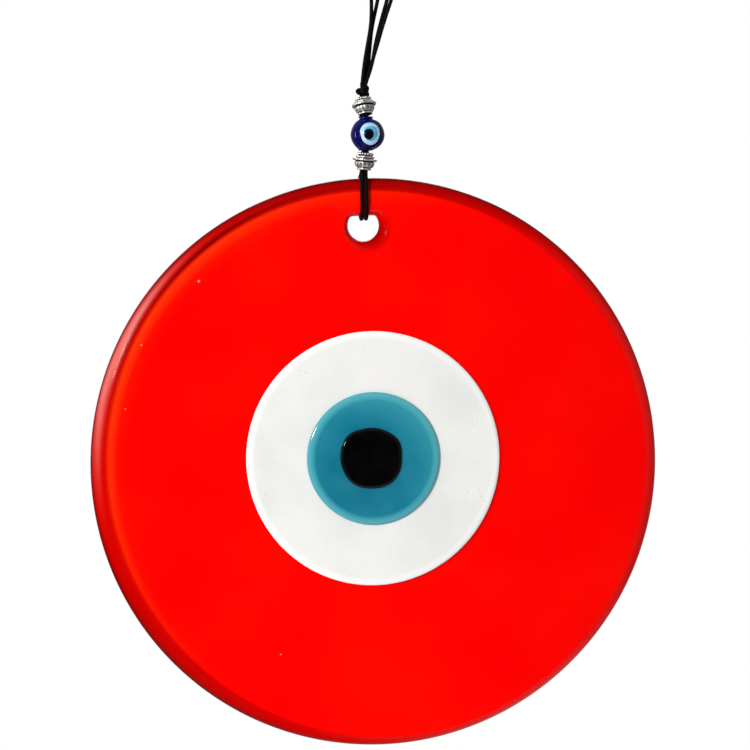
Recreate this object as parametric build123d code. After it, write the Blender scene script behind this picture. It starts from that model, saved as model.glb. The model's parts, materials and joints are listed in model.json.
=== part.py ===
"""Evil eye ornament: a fused glass disc hung on a beaded cord.

All lengths are in mm. +Z is up, the eye faces -Y, and +X is to the right of someone who looks at the eye.
The origin is the top of the hanging loop, where a hook carries it.
"""
from build123d import *
import math
import os

# Glass disc
DISC_RADIUS = 100.0
DISC_THICKNESS = 8.0
RIM_ROUNDING = 4.7
HOLE_RADIUS = 5.5
HOLE_HEIGHT = 83.2
HOLE_FLAT = 3.4
HOLE_CORNER = 1.5
HOLE_ROUNDING = 3.8
LAYER_ROUNDING = 0.8
POCKET_DEPTH = 0.6
LAYER_RISE = 1.2
WHITE_RADIUS = 44.75
IRIS_RADIUS = 23.4
PUPIL_RISE = 1.5

# Where the disc hangs, seen from the hook
DISC_CENTRE = Vector(-13.0, -3.5, -202.5)
FRONT = DISC_CENTRE.Y - DISC_THICKNESS / 2

# The eye's layers lie a little off the disc's middle
EYE_SHIFT = Vector(-0.65, 0.0, 1.45)
EYE_CENTRE = DISC_CENTRE + EYE_SHIFT

# Spacer beads: middle and way along the bore of each
LOWER_SPACER_AT = Vector(-11.46, -3.97, -96.7)
LOWER_SPACER_TILT = (0.15, 0.03, 1.0)
UPPER_SPACER_AT = Vector(-10.64, -2.87, -77.4)
UPPER_SPACER_TILT = (-0.08, 0.31, 1.0)
SPACER_HEIGHT = 6.3
SPACER_BORE_RADIUS = 2.1
SPACER_COLLAR_RADIUS = 2.7
SPACER_STEP_RADIUS = 3.3
SPACER_FLANGE_RADIUS = 4.3
SPACER_BODY_RADIUS = 3.5
SPACER_WAIST_RADIUS = 3.1
SPACER_FOOT_RADIUS = 2.55
SPACER_FLUTES = 14
FLUTE_RADIUS = 0.28

# Eye bead and the three spots of its own eye
EYE_BEAD_AT = Vector(-10.0, -3.95, -87.3)
EYE_BEAD_BORE_AT = Vector(-10.74, -3.75, -87.3)
EYE_BEAD_TILT = (0.06, 0.035, 1.0)
EYE_BEAD_RADIUS = 6.0
EYE_BEAD_HEIGHT = 11.7
EYE_BEAD_NECK = 2.7
EYE_BEAD_BORE_RADIUS = 1.85
EYE_BEAD_END_CUT = 0.3
SPOT_RADII = (3.9, 2.75, 1.95)
SPOT_DEPTHS = (0.7, 0.5, 0.3)
SPOT_TURN = 4.5
SPOT_LIFT = 2.0

# Cord and knot
CORD_DIAMETER = 1.2
KNOT_AT = Vector(-10.95, -1.9, -72.1)
KNOT_CORE = 1.95
KNOT_WRAP = 1.5
KNOT_STRAND = 0.72
KNOT_TILTS = ((18.0, 0.0, 0.0), (62.0, 20.0, 0.0), (-50.0, 75.0, 0.0))

# Points of the cord's routes, chosen by hand. Each loop runs from the knot up over the hook and back.
LOOP_A = [
    (-10.92, -2.12, -69.60), (-10.10, -1.50, -63.90), (-8.30, -1.02, -55.90), (-6.60, -0.84, -48.40),
    (-6.10, -0.74, -38.60), (-6.50, -0.66, -26.50), (-6.10, -0.64, -14.00), (-5.70, -0.62, -2.20),
    (0.10, -0.66, 1.45), (5.90, -0.62, -2.20), (6.70, -0.65, -14.00), (5.20, -0.70, -26.50),
    (1.60, -0.74, -38.60), (-2.10, -0.80, -48.00), (-4.60, -0.98, -55.40), (-7.70, -1.50, -63.90),
    (-9.68, -2.12, -69.60),
]
LOOP_B = [
    (-10.92, -0.88, -69.60), (-8.35, -0.26, -63.90), (-7.30, 0.22, -55.90), (-6.20, 0.40, -49.00),
    (-3.30, 0.52, -38.60), (-1.90, 0.60, -27.50), (-3.50, 0.63, -14.50), (-5.30, 0.62, -2.40),
    (0.20, 0.66, 1.45), (5.70, 0.62, -2.40), (5.20, 0.65, -14.50), (3.10, 0.58, -27.50),
    (0.10, 0.50, -38.60), (-3.20, 0.38, -48.40), (-5.45, 0.20, -55.90), (-7.05, -0.26, -63.90),
    (-9.68, -0.88, -69.60),
]
# Each string runs from under the knot down in front of the glass, through its hole and up behind it.
STRING_A = [
    (-11.52, -2.97, -74.80), (-11.02, -4.17, -81.10), (-11.72, -4.55, -93.40), (-12.62, -4.57, -100.75),
    (-13.35, -8.60, -103.65), (-13.50, -8.50, -114.80), (-13.50, -3.50, -117.75), (-13.50, 1.50, -114.80),
    (-13.35, 1.60, -103.65), (-12.62, -3.33, -100.75), (-11.72, -3.31, -93.40), (-11.02, -2.93, -81.10),
    (-11.52, -1.73, -74.80),
]
STRING_B = [
    (-10.28, -2.97, -74.80), (-9.78, -4.17, -81.10), (-10.48, -4.55, -93.40), (-11.38, -4.57, -100.75),
    (-11.75, -8.60, -103.65), (-11.90, -8.50, -114.80), (-11.90, -3.50, -117.75), (-11.90, 1.50, -114.80),
    (-11.75, 1.60, -103.65), (-11.38, -3.33, -100.75), (-10.48, -3.31, -93.40), (-9.78, -2.93, -81.10),
    (-10.28, -1.73, -74.80),
]


def write(name, shape):
    shape.label = name
    export_step(shape, f"parts/{name}.step")


def on_axis(middle, along):
    """A place whose Z runs along a bead's bore."""
    return Plane(origin=middle, z_dir=Vector(*along))


def facing_front(x, y, z):
    """A place whose Z points out of the eye's face."""
    return Plane(origin=(x, y, z), x_dir=(1, 0, 0), z_dir=(0, -1, 0))


def round_layer(radius, thickness, rounding):
    """A disc from z = 0 up, with its upper edge melted round."""
    disc = Cylinder(radius, thickness, align=(Align.CENTER, Align.CENTER, Align.MIN))
    return fillet(disc.edges().group_by(Axis.Z)[-1], rounding)


def hole_outline():
    """The hole for the cord: round, but flat on top where the cord bears."""
    above = Pos(0, HOLE_FLAT + HOLE_RADIUS) * Rectangle(2 * HOLE_RADIUS, 2 * HOLE_RADIUS)
    outline = Circle(HOLE_RADIUS) - above
    return Pos(0, HOLE_HEIGHT) * fillet(outline.vertices(), HOLE_CORNER)


def red_disc():
    """Red glass with a bullnose rim, a rounded hole for the cord and a seat for the white layer."""
    half = DISC_THICKNESS / 2
    flat = DISC_RADIUS - RIM_ROUNDING
    hole = extrude(hole_outline(), DISC_THICKNESS, both=True)
    hole_middle = Vector(0, HOLE_HEIGHT, 0)
    with BuildPart() as disc:
        with BuildSketch(Plane.XZ):
            with BuildLine():
                Line((0, -half), (flat, -half))
                EllipticalCenterArc((flat, 0), RIM_ROUNDING, half, start_angle=-90, arc_size=180)
                Line((flat, half), (0, half))
                Line((0, half), (0, -half))
            make_face()
        revolve(axis=Axis.Z)
        add(hole, mode=Mode.SUBTRACT)
        hole_edges = disc.edges().filter_by(
            lambda edge: abs(edge.center().Z) > half / 2
            and (edge.center() - hole_middle).length < 2 * HOLE_RADIUS)
        fillet(hole_edges, HOLE_ROUNDING)
        with Locations((EYE_SHIFT.X, EYE_SHIFT.Z, half)):
            Cylinder(WHITE_RADIUS, 2 * POCKET_DEPTH, mode=Mode.SUBTRACT)
    return facing_front(*DISC_CENTRE).location * disc.part


def white_layer():
    """White glass layer with a seat for the iris."""
    thickness = POCKET_DEPTH + LAYER_RISE
    layer = round_layer(WHITE_RADIUS, thickness, LAYER_ROUNDING)
    layer -= Pos(0, 0, thickness) * Cylinder(IRIS_RADIUS, 2 * POCKET_DEPTH)
    return facing_front(EYE_CENTRE.X, FRONT + POCKET_DEPTH, EYE_CENTRE.Z).location * layer


def pupil_outline():
    """The pupil's uneven outline: nearly round, fullest on the left, drawn in below right."""
    points = [(10.0, 0.0), (9.2, 5.8), (5.0, 9.4), (-3.0, 10.6), (-8.8, 8.4), (-11.6, 2.6),
              (-11.0, -3.6), (-7.4, -8.8), (-1.2, -10.6), (5.4, -9.2), (9.2, -4.6)]
    return make_face(Spline(points, periodic=True))


def iris_layer():
    """Blue-green glass iris with a seat for the pupil."""
    thickness = POCKET_DEPTH + LAYER_RISE
    layer = round_layer(IRIS_RADIUS, thickness, LAYER_ROUNDING)
    layer -= Pos(0, 0, thickness - POCKET_DEPTH) * extrude(pupil_outline(), 2 * POCKET_DEPTH)
    front = FRONT - LAYER_RISE
    return facing_front(EYE_CENTRE.X, front + POCKET_DEPTH, EYE_CENTRE.Z).location * layer


def pupil_blob():
    """Black glass pupil with a melted edge."""
    blob = extrude(pupil_outline(), POCKET_DEPTH + PUPIL_RISE)
    blob = fillet(blob.edges().group_by(Axis.Z)[-1], PUPIL_RISE / 2)
    front = FRONT - 2 * LAYER_RISE
    return facing_front(EYE_CENTRE.X, front + POCKET_DEPTH, EYE_CENTRE.Z).location * blob


def spacer(middle, along):
    """Silver spacer bead: collar, step, wide flange, fluted body and a foot ring."""
    half = SPACER_HEIGHT / 2
    outline = [
        (SPACER_BORE_RADIUS, half), (SPACER_COLLAR_RADIUS, half), (SPACER_COLLAR_RADIUS, 0.62 * half),
        (SPACER_STEP_RADIUS, 0.5 * half), (SPACER_FLANGE_RADIUS, 0.25 * half),
        (SPACER_FLANGE_RADIUS, -0.05 * half), (SPACER_BODY_RADIUS, -0.2 * half),
        (SPACER_WAIST_RADIUS, -0.62 * half), (SPACER_FOOT_RADIUS, -0.7 * half),
        (SPACER_FOOT_RADIUS, -half), (SPACER_BORE_RADIUS, -half),
    ]
    profile = make_face(Plane.XZ * Polyline(*outline, close=True))
    bead = revolve(profile, Axis.Z)
    for flute in range(SPACER_FLUTES):
        turn = Rot(0, 0, flute * 360 / SPACER_FLUTES)
        bead -= turn * Pos(SPACER_BODY_RADIUS, 0, -0.42 * half) * Cylinder(FLUTE_RADIUS, 0.4 * half)
    return on_axis(middle, along).location * bead


def eye_bead_spots():
    """The place on the eye bead where its own eye looks out."""
    return Pos(EYE_BEAD_AT) * Rot(0, 0, SPOT_TURN) * Rot(90 - SPOT_LIFT, 0, 0)


def spot(radius, depth):
    """A lens of glass that fills the ball's surface down to a depth."""
    ball = Sphere(EYE_BEAD_RADIUS) - Sphere(EYE_BEAD_RADIUS - depth)
    return ball & Pos(0, 0, EYE_BEAD_RADIUS / 2) * Cylinder(radius, EYE_BEAD_RADIUS)


def eye_bead():
    """Blue glass ball with its bore and neck, and the three spots let into its face."""
    places = eye_bead_spots()
    lenses = [places * spot(radius, depth) for radius, depth in zip(SPOT_RADII, SPOT_DEPTHS)]
    bore_place = on_axis(EYE_BEAD_BORE_AT, EYE_BEAD_TILT).location
    half = EYE_BEAD_HEIGHT / 2
    body = Pos(EYE_BEAD_AT) * Sphere(EYE_BEAD_RADIUS)
    body += bore_place * Pos(0, 0, half / 2) * Cylinder(EYE_BEAD_NECK, half)
    body -= bore_place * Cylinder(EYE_BEAD_BORE_RADIUS, 3 * half)
    body -= bore_place * Pos(0, 0, -2 * half + EYE_BEAD_END_CUT) * Cylinder(EYE_BEAD_RADIUS, 2 * half)
    body -= lenses[0]
    white_ring = lenses[0] - lenses[1]
    light_blue = lenses[1] - lenses[2]
    return body, white_ring, light_blue, lenses[2]


def knot():
    """Overhand knot of the four strands, held inside one ball so that it can swing in its place."""
    lump = Sphere(KNOT_CORE)
    for tilt in KNOT_TILTS:
        lump += Rot(*tilt) * Torus(KNOT_WRAP, KNOT_STRAND)
    return Pos(KNOT_AT) * lump


def corner_radii(points):
    """For each corner, 0.45 of the shorter run over the tangent of half the turn."""
    radii = []
    for before, corner, after in zip(points, points[1:], points[2:]):
        arriving = corner - before
        leaving = after - corner
        half_turn = math.radians(arriving.get_angle(leaving) / 2)
        radii.append(0.45 * min(arriving.length, leaving.length) / math.tan(half_turn))
    return radii


def cord(name, route):
    """A round cord of straight runs and tangent arcs."""
    points = [Vector(*point) for point in route]
    radii = corner_radii(points)
    path = FilletPolyline(*points, radius=radii)
    start = Plane(origin=path @ 0, z_dir=path % 0)
    tube = sweep(start * Circle(CORD_DIAMETER / 2), path=path)
    expected = math.pi * CORD_DIAMETER ** 2 / 4 * path.length
    print(name, "length", round(path.length, 1), "tightest radius", round(min(radii), 1),
          "volume over section times length", round(tube.volume / expected, 4))
    return tube


os.makedirs("parts", exist_ok=True)
write("red_glass_disc", red_disc())
write("white_glass_layer", white_layer())
write("blue_glass_iris", iris_layer())
write("black_glass_pupil", pupil_blob())
write("lower_spacer_bead", spacer(LOWER_SPACER_AT, LOWER_SPACER_TILT))
write("upper_spacer_bead", spacer(UPPER_SPACER_AT, UPPER_SPACER_TILT))
eye_parts = eye_bead()
eye_names = ("eye_bead_body", "eye_bead_white_ring", "eye_bead_light_blue", "eye_bead_pupil")
for eye_name, eye_part in zip(eye_names, eye_parts):
    write(eye_name, eye_part)
write("bead_knot", knot())
for cord_name, cord_route in (("loop_cord_a", LOOP_A), ("loop_cord_b", LOOP_B),
                              ("string_cord_a", STRING_A), ("string_cord_b", STRING_B)):
    write(cord_name, cord(cord_name, cord_route))
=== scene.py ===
"""The evil eye ornament: a fused glass disc on a beaded cord, hung in front of a pale studio."""
import json
import math
import random

import bpy
from mathutils import Matrix, Quaternion, Vector, noise
from mathutils.geometry import delaunay_2d_cdt


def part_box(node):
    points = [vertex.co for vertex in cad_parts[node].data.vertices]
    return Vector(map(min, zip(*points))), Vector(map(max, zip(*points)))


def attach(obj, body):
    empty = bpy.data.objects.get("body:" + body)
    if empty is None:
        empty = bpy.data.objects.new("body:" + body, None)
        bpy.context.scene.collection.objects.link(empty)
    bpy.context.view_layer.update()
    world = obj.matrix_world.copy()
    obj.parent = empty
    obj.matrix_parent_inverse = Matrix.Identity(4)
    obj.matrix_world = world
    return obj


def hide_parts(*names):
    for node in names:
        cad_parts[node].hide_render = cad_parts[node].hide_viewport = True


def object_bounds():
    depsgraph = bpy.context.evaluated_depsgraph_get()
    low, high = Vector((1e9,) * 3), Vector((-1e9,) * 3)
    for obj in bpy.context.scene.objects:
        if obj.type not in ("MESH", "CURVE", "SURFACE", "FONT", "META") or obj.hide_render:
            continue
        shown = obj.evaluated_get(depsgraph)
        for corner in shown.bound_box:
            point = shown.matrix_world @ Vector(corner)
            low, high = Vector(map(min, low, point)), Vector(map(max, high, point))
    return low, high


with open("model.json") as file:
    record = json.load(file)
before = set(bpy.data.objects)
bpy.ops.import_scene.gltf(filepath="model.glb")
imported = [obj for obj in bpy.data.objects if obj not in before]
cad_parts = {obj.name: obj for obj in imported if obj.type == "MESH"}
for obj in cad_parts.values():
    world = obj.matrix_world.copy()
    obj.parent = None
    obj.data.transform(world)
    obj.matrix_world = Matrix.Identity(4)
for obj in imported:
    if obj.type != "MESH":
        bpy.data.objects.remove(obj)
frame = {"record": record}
cad_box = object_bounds()
MM = 0.001
TURN = 2 * math.pi
rng = random.Random(7)

# The disc, as the CAD model has it
disc_low, disc_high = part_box("red_glass_disc")
CENTRE = (Vector(disc_low) + Vector(disc_high)) / 2
RADIUS = (disc_high[0] - disc_low[0]) / 2
HALF = (disc_high[1] - disc_low[1]) / 2
JOINTS = {joint["name"]: joint for joint in frame["record"]["behaviour"]["joints"]}

# Routes of the cord, the same points as the CAD model's tubes, in metres
LOOP_A = [
    (-0.01092, -0.00212, -0.06960), (-0.01010, -0.00150, -0.06390), (-0.00830, -0.00102, -0.05590),
    (-0.00660, -0.00084, -0.04840), (-0.00610, -0.00074, -0.03860), (-0.00650, -0.00066, -0.02650),
    (-0.00610, -0.00064, -0.01400), (-0.00570, -0.00062, -0.00220), (0.00010, -0.00066, 0.00145),
    (0.00590, -0.00062, -0.00220), (0.00670, -0.00065, -0.01400), (0.00520, -0.00070, -0.02650),
    (0.00160, -0.00074, -0.03860), (-0.00210, -0.00080, -0.04800), (-0.00460, -0.00098, -0.05540),
    (-0.00770, -0.00150, -0.06390), (-0.00968, -0.00212, -0.06960),
]
LOOP_B = [
    (-0.01092, -0.00088, -0.06960), (-0.00835, -0.00026, -0.06390), (-0.00730, 0.00022, -0.05590),
    (-0.00620, 0.00040, -0.04900), (-0.00330, 0.00052, -0.03860), (-0.00190, 0.00060, -0.02750),
    (-0.00350, 0.00063, -0.01450), (-0.00530, 0.00062, -0.00240), (0.00020, 0.00066, 0.00145),
    (0.00570, 0.00062, -0.00240), (0.00520, 0.00065, -0.01450), (0.00310, 0.00058, -0.02750),
    (0.00010, 0.00050, -0.03860), (-0.00320, 0.00038, -0.04840), (-0.00545, 0.00020, -0.05590),
    (-0.00705, -0.00026, -0.06390), (-0.00968, -0.00088, -0.06960),
]
STRING_A = [
    (-0.01152, -0.00297, -0.07480), (-0.01102, -0.00417, -0.08110), (-0.01172, -0.00455, -0.09340),
    (-0.01262, -0.00457, -0.10075), (-0.01335, -0.00860, -0.10365), (-0.01350, -0.00850, -0.11480),
    (-0.01350, -0.00350, -0.11775), (-0.01350, 0.00150, -0.11480), (-0.01335, 0.00160, -0.10365),
    (-0.01262, -0.00333, -0.10075), (-0.01172, -0.00331, -0.09340), (-0.01102, -0.00293, -0.08110),
    (-0.01152, -0.00173, -0.07480),
]
STRING_B = [
    (-0.01028, -0.00297, -0.07480), (-0.00978, -0.00417, -0.08110), (-0.01048, -0.00455, -0.09340),
    (-0.01138, -0.00457, -0.10075), (-0.01175, -0.00860, -0.10365), (-0.01190, -0.00850, -0.11480),
    (-0.01190, -0.00350, -0.11775), (-0.01190, 0.00150, -0.11480), (-0.01175, 0.00160, -0.10365),
    (-0.01138, -0.00333, -0.10075), (-0.01048, -0.00331, -0.09340), (-0.00978, -0.00293, -0.08110),
    (-0.01028, -0.00173, -0.07480),
]
STRAND_RADIUS = 0.69 * MM

# The disc's cord hole: its middle above the disc's middle, its radius, and its flat top above its middle
HOLE = Vector((0.0, 83.2 * MM))
HOLE_RADIUS = 5.5 * MM
HOLE_FLAT = 3.4 * MM

# The eye: its middle from the disc's middle, the radii of its layers, and how far each stands on the last
EYE_X, EYE_Z = -0.65 * MM, 1.45 * MM
WHITE_RADIUS = 44.75 * MM
IRIS_RADIUS = 23.4 * MM
LAYER_RISE = 1.2 * MM
PUPIL_RISE = 1.0 * MM

# Points of the pupil's outline round the eye's middle, in mm, as in the CAD model
PUPIL_POINTS = [(10.0, 0.0), (9.2, 5.8), (5.0, 9.4), (-3.0, 10.6), (-8.8, 8.4), (-11.6, 2.6),
                (-11.0, -3.6), (-7.4, -8.8), (-1.2, -10.6), (5.4, -9.2), (9.2, -4.6)]

# Bubbles, in mm from the disc's middle: clusters in the white as (x, z, count, spread), and lone ones in
# the red as (x, z, radius)
WHITE_CLUSTERS = [(23.7, 29.8, 9, 2.6), (36.0, 11.0, 4, 1.2), (36.6, -9.9, 6, 2.4), (33.4, -15.1, 9, 2.2),
                  (-24.8, 31.6, 5, 1.8), (-37.0, -9.4, 5, 1.6), (-5.5, 39.0, 3, 1.6)]
RED_BUBBLES = [(-59.1, 66.5, 0.55), (-80.3, 45.1, 0.35), (-87.0, 23.0, 0.3), (-36.3, -65.9, 0.35)]

# A spacer's section from its foot up: radius and height in mm, how blackened it is, and the depth in mm and
# the number of its flutes or mill marks
SPACER_PROFILE = [
    (2.12, -3.00, 0.8, 0.0, 0), (2.18, -3.12, 0.3, 0.0, 0), (2.36, -3.14, 0.0, 0.0, 0),
    (2.52, -3.02, 0.0, 0.0, 0), (2.55, -2.80, 0.0, 0.0, 0), (2.48, -2.56, 0.0, 0.0, 0),
    (2.36, -2.46, 0.9, 0.0, 0), (2.36, -2.34, 1.0, 0.0, 0), (2.60, -2.26, 0.5, 0.0, 0),
    (2.95, -2.12, 0.0, 0.05, 14), (3.15, -1.90, 0.0, 0.14, 14), (3.34, -1.50, 0.0, 0.20, 14),
    (3.48, -1.10, 0.0, 0.20, 14), (3.55, -0.75, 0.0, 0.16, 14), (3.52, -0.48, 0.1, 0.06, 14),
    (3.38, -0.36, 0.8, 0.0, 0), (3.28, -0.22, 1.0, 0.0, 0), (3.30, -0.08, 1.0, 0.0, 0),
    (3.60, 0.00, 1.0, 0.0, 0), (4.00, 0.05, 0.7, 0.0, 0), (4.20, 0.12, 0.1, 0.02, 26),
    (4.30, 0.28, 0.0, 0.06, 26), (4.30, 0.60, 0.0, 0.06, 26), (4.20, 0.76, 0.0, 0.02, 26),
    (3.90, 0.84, 0.1, 0.0, 0), (3.50, 0.88, 0.6, 0.0, 0), (3.18, 0.94, 1.0, 0.0, 0),
    (3.12, 1.06, 0.8, 0.0, 0), (3.24, 1.18, 0.1, 0.0, 0), (3.30, 1.40, 0.0, 0.0, 0),
    (3.24, 1.64, 0.0, 0.0, 0), (3.02, 1.80, 0.1, 0.0, 0), (2.80, 1.86, 0.6, 0.0, 0),
    (2.55, 1.92, 1.0, 0.0, 0), (2.45, 2.04, 0.9, 0.0, 0), (2.45, 2.80, 0.7, 0.0, 0),
    (2.36, 2.94, 0.4, 0.0, 0), (2.18, 2.98, 0.3, 0.0, 0), (2.12, 2.90, 0.9, 0.0, 0),
]

# The eye bead's two necks, as (radius, height) in mm from its joint
LOWER_NECK = [(1.86, -5.40), (1.90, -5.60), (2.25, -5.72), (2.60, -5.66)]
UPPER_NECK = [(2.52, 5.66), (2.50, 6.10), (2.38, 6.23), (2.05, 6.25), (1.86, 6.15)]

# The way the bead's eye faces, in degrees: to the right of straight ahead, and up
SPOT_TURN = 4.5
SPOT_LIFT = 2.0


# ---------------------------------------------------------------- camera, light and floor

def direction(azimuth, elevation):
    """The way from the object to a place at these angles in degrees; azimuth 0 is in front of the eye."""
    a, e = math.radians(azimuth), math.radians(elevation)
    return Vector((math.sin(a) * math.cos(e), -math.cos(a) * math.cos(e), math.sin(e)))


def camera():
    """Camera a little left of the disc and above its middle, and rolled a little, as in the photograph."""
    distance = 3.0
    view_width = 0.26355
    roll = math.radians(-2.57)
    target = CENTRE + Vector((1.4, -4.0, 30.6)) * MM
    back = direction(-6.0, 2.5)
    data = bpy.data.cameras.new("camera")
    data.sensor_width = 36.0
    data.lens = data.sensor_width * distance / view_width
    data.clip_start = 0.01
    cam = bpy.data.objects.new("camera", data)
    bpy.context.scene.collection.objects.link(cam)
    turn = back.to_track_quat("Z", "Y") @ Quaternion((0, 0, 1), roll)
    cam.matrix_world = Matrix.Translation(target + back * distance) @ turn.to_matrix().to_4x4()
    bpy.context.scene.camera = cam


def area_light(name, azimuth, elevation, distance, size, power):
    """A white lamp that faces the disc's middle; its angles are in degrees."""
    away = direction(azimuth, elevation)
    data = bpy.data.lights.new(name, "AREA")
    data.shape = "RECTANGLE"
    data.size, data.size_y = size
    data.energy = power
    lamp = bpy.data.objects.new(name, data)
    bpy.context.scene.collection.objects.link(lamp)
    turn = away.to_track_quat("Z", "Y").to_matrix().to_4x4()
    lamp.matrix_world = Matrix.Translation(CENTRE + away * distance) @ turn


def studio():
    """White surroundings, dimmer in front so that the glass isn't veiled, and four lamps.

    The camera itself sees plain white wherever it looks past the object and the floor.
    """
    scene = bpy.context.scene
    scene.view_settings.view_transform = "Standard"
    world = bpy.data.worlds.new("studio")
    scene.world = world
    world.use_nodes = True
    background = world.node_tree.nodes["Background"]
    background.inputs["Color"].default_value = (1, 1, 1, 1)
    place = node(world, "ShaderNodeTexCoord")
    split = node(world, "ShaderNodeSeparateXYZ", [("Vector", place.outputs["Generated"])])
    height = node(world, "ShaderNodeMapRange", [
        ("Value", split.outputs["Z"]), ("From Min", -0.6), ("From Max", 0.8),
        ("To Min", 0.22), ("To Max", 0.62)])
    front = node(world, "ShaderNodeMapRange", [
        ("Value", split.outputs["Y"]), ("From Min", -0.99), ("From Max", -0.80),
        ("To Min", 0.10), ("To Max", 1.0)])
    around = node(world, "ShaderNodeMath", [(0, height.outputs[0]), (1, front.outputs[0])],
                  operation="MULTIPLY")
    path = node(world, "ShaderNodeLightPath")
    choose = node(world, "ShaderNodeMix", [
        (0, path.outputs["Is Camera Ray"]), (2, around.outputs[0]), (3, 1.0)], data_type="FLOAT")
    world.node_tree.links.new(choose.outputs[0], background.inputs["Strength"])
    area_light("key", azimuth=-40, elevation=17, distance=1.2, size=(0.17, 0.17), power=11.3)
    area_light("side_strip", azimuth=-66, elevation=3, distance=1.5, size=(0.05, 0.5), power=1.6)
    area_light("left_strip", azimuth=-100, elevation=12, distance=0.60, size=(0.04, 0.30), power=0.9)
    area_light("back_light", azimuth=175, elevation=30, distance=1.1, size=(0.5, 0.5), power=5.0)


def floor():
    """A pale floor well below the hanging disc."""
    size = 0.8
    low = cad_box[0][2] - 0.25
    corners = [(-size, -size, low), (size, -size, low), (size, size, low), (-size, size, low)]
    plane = mesh_object("floor", corners, [(0, 1, 2, 3)], floor_paint(low), smooth=False)


# ---------------------------------------------------------------- mesh and node helpers

def mesh_object(name, points, faces, paint, smooth=True, attributes=None):
    """A mesh object with one material; attributes are lists of numbers, one for each point."""
    mesh = bpy.data.meshes.new(name)
    mesh.from_pydata([tuple(point) for point in points], [], faces)
    for label, values in (attributes or {}).items():
        layer = mesh.attributes.new(label, "FLOAT", "POINT")
        layer.data.foreach_set("value", values)
    mesh.polygons.foreach_set("use_smooth", [smooth] * len(mesh.polygons))
    mesh.validate()
    mesh.update()
    made = bpy.data.objects.new(name, mesh)
    bpy.context.scene.collection.objects.link(made)
    made.data.materials.append(paint)
    return made


def piece(made, body, slot, *nodes):
    """Puts a piece on its body and lets it stand for the CAD nodes, which it hides; slot is not used."""
    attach(made, body)
    if nodes:
        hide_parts(*nodes)
    return made


def bands(rings, around, first=0, closed=False, flipped=False):
    """Faces between neighbouring rings of points; closed joins the last ring to the first one."""
    faces = []
    for ring in range(rings if closed else rings - 1):
        here = first + ring * around
        there = first + (ring + 1) % rings * around
        for spoke in range(around):
            beside = (spoke + 1) % around
            if flipped:
                faces.append((here + spoke, there + spoke, there + beside, here + beside))
            else:
                faces.append((here + spoke, here + beside, there + beside, there + spoke))
    return faces


def join(points, faces, more):
    """Adds a second mesh, as its points and faces, to the first one's lists."""
    more_points, more_faces = more
    faces += [tuple(len(points) + corner for corner in face) for face in more_faces]
    points += more_points


def ball_mesh(middle, radius, around, rows):
    """A small closed ball."""
    points = [middle + Vector((0, 0, radius))]
    for row in range(1, rows):
        lean = math.pi * row / rows
        for spoke in range(around):
            angle = TURN * spoke / around
            points.append(middle + radius * Vector(
                (math.sin(lean) * math.cos(angle), math.sin(lean) * math.sin(angle), math.cos(lean))))
    points.append(middle - Vector((0, 0, radius)))
    faces = [(0, 1 + spoke, 1 + (spoke + 1) % around) for spoke in range(around)]
    faces += bands(rows - 1, around, first=1, flipped=True)
    last = 1 + (rows - 2) * around
    faces += [(last + spoke, len(points) - 1, last + (spoke + 1) % around) for spoke in range(around)]
    return points, faces


def material(name, **settings):
    """A Principled material, its plain settings set on the shader's own sockets."""
    made = bpy.data.materials.new(name)
    made.use_nodes = True
    shader = made.node_tree.nodes["Principled BSDF"]
    for label, value in settings.items():
        shader.inputs[label.replace("_", " ")].default_value = value
    return made


def node(made, kind, inputs=(), **settings):
    """A new node; each input is (socket, value), where a value may be another node's output."""
    new = made.node_tree.nodes.new(kind)
    for label, value in settings.items():
        setattr(new, label, value)
    for socket, value in inputs:
        if isinstance(value, bpy.types.NodeSocket):
            made.node_tree.links.new(value, new.inputs[socket])
        else:
            new.inputs[socket].default_value = value
    return new


def feed(made, label, output):
    made.node_tree.links.new(output, made.node_tree.nodes["Principled BSDF"].inputs[label])


def noise_of(made, scale, detail=4.0, roughness=0.5, stretch=(1, 1, 1)):
    """Noise in the object's own coordinates, which move with it; scale is in turns per metre."""
    place = node(made, "ShaderNodeTexCoord")
    size = node(made, "ShaderNodeMapping", [("Vector", place.outputs["Object"]), ("Scale", stretch)])
    noisy = node(made, "ShaderNodeTexNoise", [
        ("Vector", size.outputs[0]), ("Scale", scale), ("Detail", detail), ("Roughness", roughness)])
    return noisy.outputs["Fac"]


def ramp(made, value, *stops):
    """A colour ramp; each stop is (place, colour)."""
    new = node(made, "ShaderNodeValToRGB", [("Fac", value)])
    steps = new.color_ramp.elements
    while len(steps) < len(stops):
        steps.new(0.5)
    for step, (place, colour) in zip(steps, stops):
        step.position = place
        step.color = (*colour, 1.0)
    return new.outputs["Color"]


def level_ramp(made, value, *stops):
    """A ramp between plain numbers; each stop is (place, number)."""
    return ramp(made, value, *((place, (level,) * 3) for place, level in stops))


def mixed(made, share, first, second):
    """Two colours mixed by a share; each may be another node's output."""
    new = node(made, "ShaderNodeMix", data_type="RGBA")
    for socket, value in ((0, share), (6, first), (7, second)):
        if isinstance(value, bpy.types.NodeSocket):
            made.node_tree.links.new(value, new.inputs[socket])
        else:
            new.inputs[socket].default_value = (*value, 1.0)
    return new.outputs[2]


def bump(made, height, distance, strength):
    new = node(made, "ShaderNodeBump", [("Height", height), ("Strength", strength), ("Distance", distance)])
    feed(made, "Normal", new.outputs[0])


def attribute(made, label):
    return node(made, "ShaderNodeAttribute", attribute_name=label).outputs["Fac"]


# ---------------------------------------------------------------- materials

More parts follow.
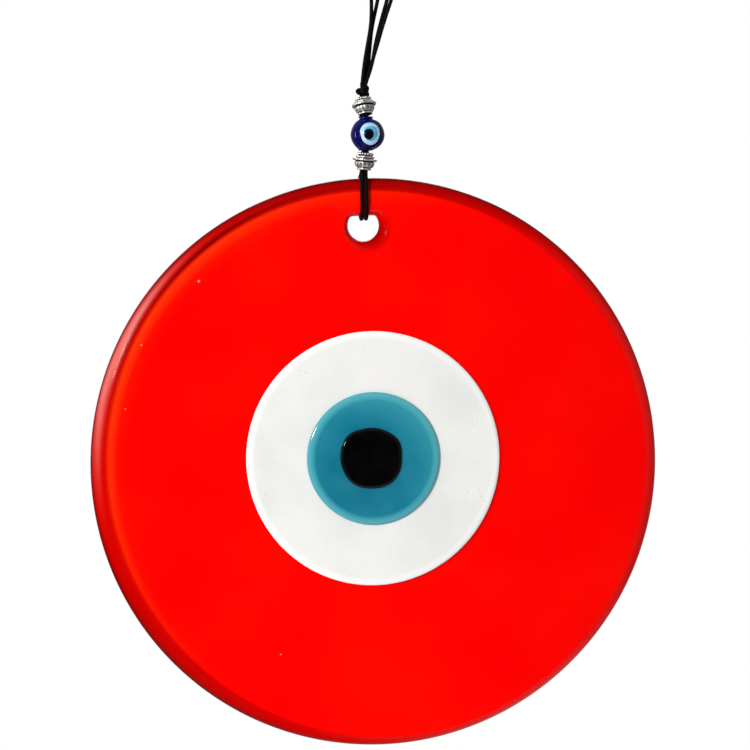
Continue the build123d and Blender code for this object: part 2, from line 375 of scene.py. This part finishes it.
def floor_paint(height):
    """Pale matt paint that fades out from 0.25 m off the floor's middle, so that no edge shows."""
    made = material("floor_paint", Roughness=0.9)
    place = node(made, "ShaderNodeTexCoord")
    out = node(made, "ShaderNodeVectorMath", [
        (0, place.outputs["Object"]), (1, (0.0, 0.0, -height))], operation="ADD")
    away = node(made, "ShaderNodeVectorMath", [(0, out.outputs["Vector"])], operation="LENGTH")
    fade = node(made, "ShaderNodeMapRange", [
        ("Value", away.outputs["Value"]), ("From Min", 0.25), ("From Max", 0.78),
        ("To Min", 1.0), ("To Max", 0.0)], interpolation_type="SMOOTHSTEP")
    feed(made, "Alpha", fade.outputs[0])
    shade = ramp(made, noise_of(made, 3.0), (0.3, (0.88, 0.88, 0.87)), (0.7, (0.90, 0.90, 0.89)))
    feed(made, "Base Color", shade)
    return made


def red_glass():
    """Opaque red glass, from its points' numbers: painted orange light (glow), painted shade where
    its rim turns away (deep), and a painted pale pink reflection on its edge, which is also the
    pale pink of its bubbles (clear)."""
    made = material("red_glass", Roughness=0.06, Specular_IOR_Level=0.3, IOR=1.5)
    cloud = ramp(made, noise_of(made, 30.0, 2.0), (0.3, (0.96, 0.0, 0.0)), (0.7, (1.0, 0.002, 0.0)))
    # painted orange light at the upper left of the rim, standing in for light coming through the glass
    with_painted_glow = mixed(made, attribute(made, "glow"), cloud, (1.0, 0.05, 0.004))
    # painted shade: dark red where the rim turns away and on the hole's lip
    deep = mixed(made, attribute(made, "deep"), with_painted_glow, (0.14, 0.0, 0.0))
    # painted pale pink reflection on the left of the rim; the lone bubbles take the same pale pink
    pale = mixed(made, attribute(made, "clear"), deep, (0.74, 0.27, 0.23))
    feed(made, "Base Color", pale)
    # less gloss where the painted shade is
    feed(made, "Specular IOR Level", level_ramp(made, attribute(made, "deep"), (0.10, 0.20), (0.45, 0.018)))
    feed(made, "Roughness", level_ramp(made, noise_of(made, 140.0, 3.0), (0.3, 0.05), (0.75, 0.09)))
    bump(made, noise_of(made, 60.0, 2.0), 0.0004, 0.35)
    return made


def white_glass():
    """Opaque white glass, a little cloudy, with a painted highlight along its melted edge, and greyer
    bubbles (speck).
    """
    made = material("white_glass", Roughness=0.16, Specular_IOR_Level=0.35, IOR=1.5)
    cloud = ramp(made, noise_of(made, 45.0, 5.0),
                 (0.32, (0.79, 0.80, 0.78)), (0.52, (0.85, 0.85, 0.825)), (0.7, (0.88, 0.865, 0.845)))
    dotted = mixed(made, attribute(made, "speck"), cloud, (0.68, 0.65, 0.63))
    # painted highlight along the melted edge
    feed(made, "Base Color", mixed(made, attribute(made, "edge"), dotted, (0.97, 0.965, 0.955)))
    bump(made, noise_of(made, 220.0, 3.0), 0.0002, 0.25)
    return made


def blue_glass():
    """Blue-green glass, deepest round the pupil, paler towards its melted edge, above and on the right,
    with a painted highlight along the melted edge.
    """
    made = material("blue_glass", Roughness=0.08, Specular_IOR_Level=0.5, IOR=1.5)
    shade = ramp(made, attribute(made, "thin"),
                 (0.0, (0.0, 0.115, 0.205)), (0.5, (0.006, 0.19, 0.29)), (1.0, (0.045, 0.33, 0.40)))
    swirl = level_ramp(made, noise_of(made, 70.0, 3.0), (0.35, 0.0), (0.8, 0.35))
    cloudy = mixed(made, swirl, shade, (0.05, 0.36, 0.43))
    # painted highlight along the melted edge
    feed(made, "Base Color", mixed(made, attribute(made, "edge"), cloudy, (0.09, 0.44, 0.50)))
    bump(made, noise_of(made, 90.0, 2.0), 0.0003, 0.3)
    return made


def black_glass():
    """Opaque black glass, faintly cloudy, with a faint painted highlight along its melted edge."""
    made = material("black_glass", Roughness=0.07, Specular_IOR_Level=0.15, IOR=1.5)
    shade = ramp(made, noise_of(made, 160.0), (0.4, (0.0008, 0.0008, 0.001)), (0.8, (0.003, 0.003, 0.0035)))
    # faint painted highlight along the melted edge
    feed(made, "Base Color", mixed(made, attribute(made, "edge"), shade, (0.002, 0.003, 0.004)))
    bump(made, noise_of(made, 180.0, 2.0), 0.0002, 0.3)
    return made


def bead_glass(name, dark, light):
    """Glossy bead glass with a faint streak of its lighter shade."""
    made = material(name, Roughness=0.05, Specular_IOR_Level=0.11, IOR=1.52)
    streaks = noise_of(made, 260.0, 3.0, 0.6, (1.0, 1.0, 3.0))
    feed(made, "Base Color", ramp(made, streaks, (0.35, dark), (0.8, light)))
    bump(made, noise_of(made, 320.0, 2.0), 0.00012, 0.3)
    return made


def antique_silver():
    """Cast silver-coloured alloy: bright where it is rubbed, blackened in its recesses."""
    made = material("antique_silver", Metallic=1.0, Roughness=0.3)
    tarnish = noise_of(made, 900.0, 5.0)
    metal = ramp(made, tarnish,
                 (0.3, (0.42, 0.40, 0.37)), (0.6, (0.72, 0.70, 0.66)), (0.8, (0.82, 0.80, 0.77)))
    feed(made, "Base Color", mixed(made, attribute(made, "recess"), metal, (0.014, 0.011, 0.012)))
    feed(made, "Roughness", level_ramp(made, tarnish, (0.3, 0.42), (0.8, 0.2)))
    bump(made, noise_of(made, 1500.0, 4.0), 0.0001, 0.35)
    return made


def waxed_cord():
    """Black waxed cotton: nearly matt, with a little shine on the wax and fibres along it."""
    made = material("waxed_cord", Roughness=0.5, Specular_IOR_Level=0.05)
    wax = noise_of(made, 1400.0, 5.0, 0.65)
    black = ramp(made, wax, (0.35, (0.0012, 0.001, 0.001)), (0.8, (0.005, 0.0045, 0.0045)))
    feed(made, "Base Color", black)
    feed(made, "Roughness", level_ramp(made, wax, (0.3, 0.40), (0.75, 0.66)))
    bump(made, noise_of(made, 4200.0, 3.0), 0.0001, 0.6)
    return made


# ---------------------------------------------------------------- cords and knot

def nurbs_line(name, route):
    """Points along a smooth NURBS line through the cord's route."""
    curve = bpy.data.curves.new(name, "CURVE")
    curve.dimensions = "3D"
    curve.resolution_u = 16
    spline = curve.splines.new("NURBS")
    spline.points.add(len(route) - 1)
    for point, place in zip(spline.points, route):
        point.co = (*place, 1.0)
    spline.order_u = 3
    spline.use_endpoint_u = True
    holder = bpy.data.objects.new(name, curve)
    bpy.context.scene.collection.objects.link(holder)
    mesh = bpy.data.meshes.new_from_object(holder)
    line = [vertex.co.copy() for vertex in mesh.vertices]
    bpy.data.meshes.remove(mesh)
    bpy.data.objects.remove(holder)
    bpy.data.curves.remove(curve)
    return line


def tube(line, radius, sides=18, plies=3, lay=2.4 * MM, depth=0.10, closed=False):
    """A laid cord along a line: its section has plies that twist once in each lay."""
    count = len(line)
    tangents = []
    for i in range(count):
        before = line[i - 1] if closed or i else line[0]
        after = line[(i + 1) % count] if closed else line[min(i + 1, count - 1)]
        tangents.append((after - before).normalized())
    across = tangents[0].orthogonal().normalized()
    points, run = [], 0.0
    for i in range(count):
        if i:
            across = tangents[i - 1].rotation_difference(tangents[i]) @ across
            run += (line[i] - line[i - 1]).length
        across = (across - tangents[i] * across.dot(tangents[i])).normalized()
        other = tangents[i].cross(across)
        for side in range(sides):
            angle = TURN * side / sides
            strand = abs(math.cos(plies / 2 * (angle - TURN * run / lay)))
            reach = radius * (1 - depth + depth * strand)
            points.append(line[i] + (across * math.cos(angle) + other * math.sin(angle)) * reach)
    faces = bands(count, sides, closed=closed)
    if not closed:
        last = (count - 1) * sides
        faces.append(tuple(reversed(range(sides))))
        faces.append(tuple(range(last, last + sides)))
    return points, faces


def finer(line, spacing):
    """The same line with more points, evenly spaced, so that the lay of the cord shows."""
    points = [line[0]]
    for a, b in zip(line, line[1:]):
        steps = max(1, round((b - a).length / spacing))
        points += [a.lerp(b, step / steps) for step in range(1, steps + 1)]
    return points


def tucked(line, middle, depth):
    """The line with its two ends run on into the knot."""
    first = line[0].lerp(middle, depth / (middle - line[0]).length)
    last = line[-1].lerp(middle, depth / (middle - line[-1]).length)
    return [first] + line + [last]


def cord(name, route, body, paint):
    """One length of the waxed cord along its route; it stands for the CAD tube of the same name."""
    line = nurbs_line(name + "_line", route)
    whole = tucked(line, Vector(JOINTS["sideways_swing"]["pos_m"]), 1.5 * MM)
    points, faces = tube(finer(whole, 0.3 * MM), STRAND_RADIUS)
    made = piece(mesh_object(name, points, faces, paint), body, "waxed_cord", name.removesuffix("_strand"))


def knot(paint):
    """Overhand knot of doubled cord: two strands in a trefoil, side by side, drawn tight over a core."""
    middle = Vector(JOINTS["sideways_swing"]["pos_m"]) + Vector((0.35, 0.0, -0.3)) * MM
    core_radius = 1.85 * MM
    wound_radius = 0.6 * MM
    lean = math.radians(25.0)
    strands, steps = 2, 140
    points, faces = ball_mesh(middle, core_radius, 24, 14)
    for strand in range(strands):
        shift = (strand - 0.5) * 1.5
        line = []
        for step in range(steps):
            t = TURN * step / steps
            x = math.sin(t) + 1.7 * math.sin(2 * t)
            z = math.cos(t) - 1.7 * math.cos(2 * t)
            out = 1.1 * math.sin(3 * t) + shift
            x, z = x * math.cos(lean) - z * math.sin(lean), x * math.sin(lean) + z * math.cos(lean)
            line.append(middle + Vector((x * 0.80, out * 0.72, z * 0.72)) * MM)
        join(points, faces, tube(line, wound_radius, closed=True))
    return piece(mesh_object("bead_knot_lump", points, faces, paint), "knot", "waxed_cord", "bead_knot")


# ---------------------------------------------------------------- glass disc

def front_point(x, z, out):
    """A point of the eye's face: x to the right and z up from the disc's middle, out towards the viewer."""
    return CENTRE + Vector((x, -out, z))


def towards(angle, way, power):
    """How nearly an angle points a way: 1 along it, falling to 0 at a right angle to it."""
    return max(0.0, math.cos(angle - way)) ** power


def wave(x, z):
    """Slow unevenness of hand-made glass, from -1 to 1."""
    return noise.noise(Vector((x * 28, z * 28, 0.5)))


def lip(steps):
    """Angles from the middle of an edge, 0, to the flat face, a quarter turn."""
    return [math.pi / 2 * step / steps for step in range(steps + 1)]


def rim_radius(angle):
    """The disc's radius, a little uneven."""
    return RADIUS * (1 - 0.0008 + 0.0008 * math.sin(2 * angle + 0.6))


def rim_rounding(angle):
    """The melted rim is widest on the left and below left, and narrowest at the bottom."""
    left = towards(angle, math.pi + 0.35, 1.5)
    bottom = towards(angle, 0.25 - math.pi / 2, 4)
    return (4.9 + 1.6 * left - 2.3 * bottom) * MM


def rim_painted_light(angle, tilt):
    """The rim's painted light at an angle round it and a tilt over it: painted orange light, painted shade
    and a painted pale pink reflection.

    The painted shade is darkest at the top and on the lower left and along its very edge, with a thin dark
    line on the upper left; the painted pale pink reflection is a streak on the left.
    """
    turned = math.cos(tilt)
    # painted orange light just inside the upper left of the rim
    glow = towards(angle, math.pi - 0.55, 2) * max(0.0, 1 - 3.5 * turned) * 0.65
    # painted shade: darkest at the top, on the lower left and along the very edge
    upper = towards(angle, math.pi / 2 + 0.1, 1.5)
    lower_left = towards(angle, math.pi + 0.7, 1.2)
    deep = min(1.0, (0.06 + 0.70 * upper + 0.60 * lower_left) * turned ** 0.2 + 0.35 * turned ** 5
               + 0.4 * turned ** 20)
    streak = 0.95 + 0.8 * noise.noise(Vector((3.0 * angle, 5.0 * turned, 2.0)))
    # a thin painted dark line on the upper left
    line = towards(angle, math.pi - 0.85, 4) * math.exp(-((turned - 0.36) / 0.12) ** 2)
    deep = min(1.0, deep + 0.3 * line * (0.6 + streak))
    # painted pale pink reflection, in streaks, on the left
    clear = 0.85 * towards(angle, math.pi - 0.42, 26) * math.exp(-((turned - 0.68) / 0.17) ** 2) * streak
    return glow, deep, clear


def face_painted_glow(x, z):
    """The painted orange light goes on a little way inside the upper left of the rim."""
    reach = math.hypot(x, z)
    inward = max(0.0, reach / RADIUS - 0.88) * 2
    return min(0.6, towards(math.atan2(z, x), math.pi - 0.55, 2) * inward)


def hole_radius(angle):
    """Distance from the hole's middle to its wall: round, but flat on top where the cord bears."""
    blend = 18
    rise = max(0.001, math.sin(angle))
    return (HOLE_RADIUS ** -blend + (HOLE_FLAT / rise) ** -blend) ** (-1 / blend)


def hole_rounding(angle):
    """The hole's melted lip is wider on its right and below."""
    return (3.3 + 1.4 * math.cos(angle + 0.7)) * MM


def hole_painted_shade(angle, tilt):
    """Painted shade on the hole's lip, darkest on its right and below, inside the hole."""
    return (0.30 + 0.55 * towards(angle, -0.7, 1)) * math.cos(tilt) ** 0.6


def face_places():
    """Points of the flat face on rings about 4 mm apart, away from the rim's and the hole's lips."""
    spacing = 4 * MM
    clear_of_hole = 12.5 * MM
    reach = RADIUS - 9 * MM
    places = []
    while reach > 3 * MM:
        around = max(6, round(TURN * reach / spacing))
        for spoke in range(around):
            angle = TURN * spoke / around
            place = Vector((reach * math.cos(angle), reach * math.sin(angle)))
            if (place - HOLE).length > clear_of_hole:
                places.append(place)
        reach -= spacing
    return places


def face_triangles(flat, rim, hole):
    """Triangles of the flat face between the rim's innermost ring and the hole's outermost ring."""
    chosen = list(rim) + list(hole) + list(range(hole.stop, len(flat)))
    border = [(i, (i + 1) % len(rim)) for i in range(len(rim))]
    border += [(len(rim) + i, len(rim) + (i + 1) % len(hole)) for i in range(len(hole))]
    found = delaunay_2d_cdt([Vector(flat[i]) for i in chosen], border, [], 0, 1e-9)
    places, faces, sources = found[0], found[2], found[3]
    triangles = []
    for corners in faces:
        middle = sum((places[corner] for corner in corners), Vector((0, 0))) / 3
        away = middle - HOLE
        angle = math.atan2(away.y, away.x)
        if away.length > (hole_radius(angle) + hole_rounding(angle)) * 0.995:
            triangles.append(tuple(chosen[sources[corner][0]] for corner in corners))
    return triangles


def red_disc(paint):
    """Two faces that meet round the rim and round the hole, each with a melted edge."""
    spokes, hole_spokes, steps = 288, 96, 10
    front_unevenness, back_unevenness = 0.10 * MM, 0.08 * MM
    flat, thick, looks = [], [], []
    for tilt in lip(steps):
        for spoke in range(spokes):
            angle = TURN * spoke / spokes
            reach = rim_radius(angle) - rim_rounding(angle) * (1 - math.cos(tilt))
            flat.append((reach * math.cos(angle), reach * math.sin(angle)))
            thick.append(HALF * math.sin(tilt))
            looks.append(rim_painted_light(angle, tilt))
    rim_end = len(flat)
    for tilt in lip(steps):
        for spoke in range(hole_spokes):
            angle = TURN * spoke / hole_spokes
            reach = hole_radius(angle) + hole_rounding(angle) * (1 - math.cos(tilt))
            flat.append((HOLE.x + reach * math.cos(angle), HOLE.y + reach * math.sin(angle)))
            thick.append(HALF * math.sin(tilt))
            looks.append((0.0, hole_painted_shade(angle, tilt), 0.0))
    hole_end = len(flat)
    for place in face_places():
        flat.append((place.x, place.y))
        thick.append(HALF)
        looks.append((face_painted_glow(place.x, place.y), 0.0, 0.0))

    front = bands(steps + 1, spokes)
    front += bands(steps + 1, hole_spokes, first=rim_end, flipped=True)
    front += face_triangles(flat, range(rim_end - spokes, rim_end), range(hole_end - hole_spokes, hole_end))

    points = []
    for (x, z), height in zip(flat, thick):
        uneven = front_unevenness * wave(x, z) * (height / HALF) ** 4
        points.append(front_point(x, z, height + uneven))
    twin = list(range(len(flat)))
    back = [i for i, height in enumerate(thick) if height > 1e-9]
    for i in back:
        x, z = flat[i]
        uneven = back_unevenness * wave(x + 0.3, z) * (thick[i] / HALF) ** 4
        twin[i] = len(points)
        points.append(front_point(x, z, -thick[i] - uneven))
    faces = front + [tuple(twin[corner] for corner in reversed(face)) for face in front]
    # each point's painted light for the red glass; the back face has less of the painted orange light
    glow, deep, clear = zip(*looks, *((looks[i][0] * 0.4, looks[i][1], looks[i][2]) for i in back))
    attributes = {"glow": glow, "deep": deep, "clear": clear}
    made = mesh_object("red_disc", points, faces, paint, attributes=attributes)
    piece(made, "glass_disc", "red_glass", "red_glass_disc")


# ---------------------------------------------------------------- glass layers and bubbles

def layer(name, outline, paint, low, high, drop, width, dome=0.0):
    """A glass layer whose melted edge is width wide and falls by drop, and whose foot is in the glass below
    it.

    Heights are from the disc's middle plane. Each point has two numbers for the material: a painted
    highlight along the melted edge, and how thin the glass looks there.
    """
    spokes, inner_rings, steps = 240, 12, 10
    start_thin = 0.15
    crest_height = 0.06 * MM
    unevenness = 0.05 * MM
    tucked_in = 0.985
    points, edge, thin = [front_point(EYE_X, EYE_Z, high + dome)], [0.0], [start_thin]

    def add(reach, angle, out, painted_edge_highlight, level):
        x = EYE_X + reach * math.cos(angle)
        z = EYE_Z + reach * math.sin(angle)
        share = reach / outline(angle)
        points.append(front_point(x, z, out + unevenness * wave(x * 2, z * 2) * level))
        edge.append(painted_edge_highlight)
        paler = start_thin + 0.55 * share ** 2 + 0.3 * share * math.cos(angle - 0.9)
        thin.append(min(1.0, max(0.0, paler)))

    angles = [TURN * spoke / spokes for spoke in range(spokes)]
    for ring in range(1, inner_rings + 1):
        share = ring / inner_rings
        for angle in angles:
            add((outline(angle) - width) * share, angle, high + dome * (1 - share ** 2), 0.0, 1.0)
    for tilt in reversed(lip(steps)[:-1]):
        out = high + crest_height * math.sin(2 * tilt) ** 2 - drop * (1 - math.sin(tilt))
        for angle in angles:
            # the painted highlight is strongest halfway down the melted edge
            add(outline(angle) - width * (1 - math.cos(tilt)), angle, out,
                0.75 * math.sin(2 * tilt) ** 0.9, math.sin(tilt))
    for angle in angles:
        add(outline(angle) * tucked_in, angle, low, 0.0, 0.0)
    rings = inner_rings + steps + 1
    last = 1 + (rings - 1) * spokes
    faces = [(0, 1 + (spoke + 1) % spokes, 1 + spoke) for spoke in range(spokes)]
    faces += bands(rings, spokes, first=1)
    faces.append(tuple(range(last, last + spokes)))
    return mesh_object(name, points, faces, paint, attributes={"edge": edge, "thin": thin})


def round_outline(radius, wobble, phase):
    """A nearly round outline, as a radius for each angle."""
    def uneven(angle):
        return radius * (1 + wobble * math.sin(2 * angle + phase) + wobble * 0.6 * math.sin(3 * angle))
    return uneven


def outline_through(points):
    """A smooth outline, as a radius for each angle, through points round the middle."""
    polar = sorted((math.atan2(z, x) % TURN, math.hypot(x, z)) for x, z in points)
    polar = [(polar[-2][0] - TURN, polar[-2][1]), (polar[-1][0] - TURN, polar[-1][1])] + polar
    polar += [(polar[2][0] + TURN, polar[2][1]), (polar[3][0] + TURN, polar[3][1])]

    def radius(angle):
        angle %= TURN
        i = max(k for k in range(1, len(polar) - 2) if polar[k][0] <= angle)
        (a0, r0), (a1, r1), (a2, r2), (a3, r3) = polar[i - 1:i + 3]
        share = (angle - a1) / (a2 - a1)
        start = (r2 - r0) / (a2 - a0) * (a2 - a1)
        end = (r3 - r1) / (a3 - a1) * (a2 - a1)
        return ((2 * share ** 3 - 3 * share ** 2 + 1) * r1 + (share ** 3 - 2 * share ** 2 + share) * start
                + (3 * share ** 2 - 2 * share ** 3) * r2 + (share ** 3 - share ** 2) * end) * MM
    return radius


def bubbles(white_paint, red_paint):
    """Clusters of small bubbles that stand a little out of the white layer, and lone ones in the red."""
    points, faces = [], []
    for x, z, count, spread in WHITE_CLUSTERS:
        for _ in range(count):
            size = rng.uniform(0.14, 0.36) * MM
            place = front_point((x + rng.gauss(0, spread)) * MM, (z + rng.gauss(0, spread)) * MM,
                                HALF + LAYER_RISE - size * 0.5)
            join(points, faces, ball_mesh(place, size, 12, 8))
    speck = [0.75] * len(points)
    made = mesh_object("white_bubbles", points, faces, white_paint, attributes={"speck": speck})
    piece(made, "glass_disc", "white_glass")
    points, faces = [], []
    for x, z, size in RED_BUBBLES:
        place = front_point(x * MM, z * MM, HALF - size * 0.5 * MM)
        join(points, faces, ball_mesh(place, size * MM, 14, 10))
    # the lone bubbles are pale pink, in the colour of the painted reflection
    clear = [0.9] * len(points)
    made = mesh_object("red_bubbles", points, faces, red_paint, attributes={"clear": clear})
    piece(made, "glass_disc", "red_glass")


def white_layer(paint):
    """The white layer, its foot sunk into the red glass."""
    made = layer("white_layer", round_outline(WHITE_RADIUS, 0.002, 0.4), paint,
                 low=HALF - 0.5 * MM, high=HALF + LAYER_RISE, drop=0.70 * MM, width=3.0 * MM)
    piece(made, "glass_disc", "white_glass", "white_glass_layer")


def iris(paint):
    """The blue-green iris, on the white layer."""
    made = layer("blue_iris", round_outline(IRIS_RADIUS, 0.003, 1.0), paint,
                 low=HALF + 0.6 * MM, high=HALF + 2 * LAYER_RISE, drop=0.75 * MM, width=3.0 * MM)
    piece(made, "glass_disc", "blue_glass", "blue_glass_iris")


def pupil(paint):
    """The pupil, an uneven blob with a slight dome."""
    made = layer("black_pupil", outline_through(PUPIL_POINTS), paint, low=HALF + 1.8 * MM,
                 high=HALF + 2 * LAYER_RISE + PUPIL_RISE, drop=1.0 * MM, width=1.6 * MM, dome=0.4 * MM)
    piece(made, "glass_disc", "black_glass", "black_glass_pupil")


# ---------------------------------------------------------------- beads

def bore_place(joint):
    """The place of a bead: its middle from the joint, Z along its bore."""
    turn = Vector(JOINTS[joint]["axis"]).to_track_quat("Z", "Y").to_matrix().to_4x4()
    return Matrix.Translation(Vector(JOINTS[joint]["pos_m"])) @ turn


def spacer(name, joint, node_name, body, paint):
    """Silver spacer: foot ring, fluted skirt, milled flange, collar and a ring of granules."""
    spokes = 168
    granules = 16
    granule_ring, granule_height, granule_radius = 2.42, 2.48, 0.50
    place = bore_place(joint)
    points, recess = [], []
    for radius, height, dark, relief, count in SPACER_PROFILE:
        for spoke in range(spokes):
            angle = TURN * spoke / spokes
            cut = (0.5 - 0.5 * math.cos(count * angle)) ** 2 if count else 0.0
            reach = radius - relief * cut
            points.append(place @ (Vector((reach * math.cos(angle), reach * math.sin(angle), height)) * MM))
            recess.append(min(1.0, dark + cut * min(0.8, relief * 4)))
    faces = bands(len(SPACER_PROFILE), spokes, closed=True)
    for granule in range(granules):
        angle = TURN * (granule + 0.3) / granules
        middle = Vector((granule_ring * math.cos(angle), granule_ring * math.sin(angle), granule_height))
        join(points, faces, ball_mesh(place @ (middle * MM), granule_radius * MM, 10, 8))
    recess += [0.0] * (len(points) - len(recess))
    made = mesh_object(name, points, faces, paint, attributes={"recess": recess})
    piece(made, body, "antique_silver", node_name)


def eye_bead(middle, radius, paint):
    """Blue ball bead on a bore a little off its middle, its shoulders drawn in to a short neck."""
    spokes, rows = 96, 44
    lowest, highest = 153, 23  # where the ball meets its necks, in degrees from its top
    place = bore_place("eye_bead_spin")
    shift = place.inverted() @ middle
    shift.z = 0.0

    def on_ball(lean, angle):
        """A point of the ball, moved off the bore's line most at its girth, its upper shoulder drawn in."""
        share = 1 - math.cos(lean) ** 6
        girth = radius * math.sin(lean)
        point = Vector((girth * math.cos(angle), girth * math.sin(angle), radius * math.cos(lean)))
        point = (point + shift * share) * (1 + 0.005 * math.sin(3 * angle + 1.0) * share)
        drawn = 1 - 0.03 * max(0.0, math.sin(2 * lean - 0.2)) if math.cos(lean) > 0 else 1.0
        return Vector((point.x * drawn, point.y * drawn, point.z))

    def on_neck(reach, height, angle):
        return Vector((reach * math.cos(angle), reach * math.sin(angle), height)) * MM

    angles = [TURN * spoke / spokes for spoke in range(spokes)]
    leans = [math.radians(lowest + (highest - lowest) * row / rows) for row in range(rows + 1)]
    points = [on_neck(reach, height, angle) for reach, height in LOWER_NECK for angle in angles]
    points += [on_ball(lean, angle) for lean in leans for angle in angles]
    points += [on_neck(reach, height, angle) for reach, height in UPPER_NECK for angle in angles]
    rings = len(LOWER_NECK) + len(leans) + len(UPPER_NECK)
    placed = [place @ point for point in points]
    made = mesh_object("blue_bead", placed, bands(rings, spokes, closed=True), paint)
    piece(made, "eye_bead", "cobalt_glass", "eye_bead_body")


def eye_spot(name, node_name, slot, ball, paint, reach, proud, tall, shift=(0.0, 0.0)):
    """A lens of glass melted onto the ball: a cap that follows it, standing proud with a round edge.

    The ball is its middle and radius. The lens is reach in radius and stands proud by that height; tall
    makes it taller than wide, and shift moves it to the right and up.
    """
    middle, radius = ball
    spokes, rings = 64, 14
    sunk = 0.05 * MM
    root_depth, root_share = 0.5 * MM, 0.8
    facing = (Matrix.Translation(middle) @ Matrix.Rotation(math.radians(SPOT_TURN), 4, "Z")
              @ Matrix.Rotation(math.radians(90 - SPOT_LIFT), 4, "X"))

    def on_ball(across, angle, height):
        x = shift[0] + across * math.cos(angle)
        y = shift[1] + across * math.sin(angle)
        normal = Vector((x, y, math.sqrt(radius ** 2 - x * x - y * y))).normalized()
        return facing @ (normal * (radius + height))

    angles = [TURN * spoke / spokes for spoke in range(spokes)]
    points = [on_ball(0.0, 0.0, proud - sunk)]
    for ring in range(1, rings + 1):
        share = ring / rings
        height = proud * math.sqrt(max(0.0, 1 - share ** 6)) - sunk
        for angle in angles:
            size = reach * (1 - tall * math.cos(2 * angle) + 0.02 * math.sin(3 * angle))
            points.append(on_ball(size * share, angle, height))
    start = len(points)
    points += [on_ball(reach * root_share, angle, -root_depth) for angle in angles]
    faces = [(0, 1 + spoke, 1 + (spoke + 1) % spokes) for spoke in range(spokes)]
    faces += bands(rings + 1, spokes, first=1, flipped=True)
    faces.append(tuple(reversed(range(start, start + spokes))))
    piece(mesh_object(name, points, faces, paint), "eye_bead", slot, node_name)


def beads():
    """The two silver spacers, and the blue bead between them with its three lenses."""
    silver = antique_silver()
    spacer("lower_spacer", "lower_spacer_spin", "lower_spacer_bead", "lower_spacer", silver)
    spacer("upper_spacer", "upper_spacer_spin", "upper_spacer_bead", "upper_spacer", silver)
    low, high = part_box("eye_bead_body")
    radius = (high[0] - low[0]) / 2
    joint_height = JOINTS["eye_bead_spin"]["pos_m"][2]
    middle = Vector(((low[0] + high[0]) / 2, (low[1] + high[1]) / 2, joint_height))
    eye_bead(middle, radius, bead_glass("cobalt_glass", (0.0003, 0.0004, 0.028), (0.0008, 0.002, 0.12)))
    ball = (middle, radius)
    pale = bead_glass("bead_white_glass", (0.36, 0.58, 0.85), (0.62, 0.80, 0.95))
    light_blue = bead_glass("bead_blue_glass", (0.05, 0.36, 0.58), (0.14, 0.55, 0.72))
    black = bead_glass("bead_black_glass", (0.001, 0.001, 0.004), (0.003, 0.003, 0.010))
    eye_spot("bead_white", "eye_bead_white_ring", "bead_white", ball, pale,
             reach=3.85 * MM, proud=0.18 * MM, tall=0.07)
    eye_spot("bead_blue", "eye_bead_light_blue", "bead_light_blue", ball, light_blue,
             reach=2.7 * MM, proud=0.30 * MM, tall=0.05, shift=(0.1 * MM, 0.2 * MM))
    eye_spot("bead_pupil", "eye_bead_pupil", "bead_black", ball, black,
             reach=1.95 * MM, proud=0.42 * MM, tall=0.06, shift=(-0.55 * MM, -0.1 * MM))


# ---------------------------------------------------------------- the scene

camera()
wax = waxed_cord()
lump = knot(wax)
cord("loop_cord_a_strand", LOOP_A, "hanging_loop", wax)
cord("loop_cord_b_strand", LOOP_B, "hanging_loop", wax)
cord("string_cord_a_strand", STRING_A, "bead_string", wax)
cord("string_cord_b_strand", STRING_B, "bead_string", wax)
floor()
studio()
red = red_glass()
white = white_glass()
red_disc(red)
white_layer(white)
iris(blue_glass())
bubbles(white, red)
pupil(black_glass())
beads()
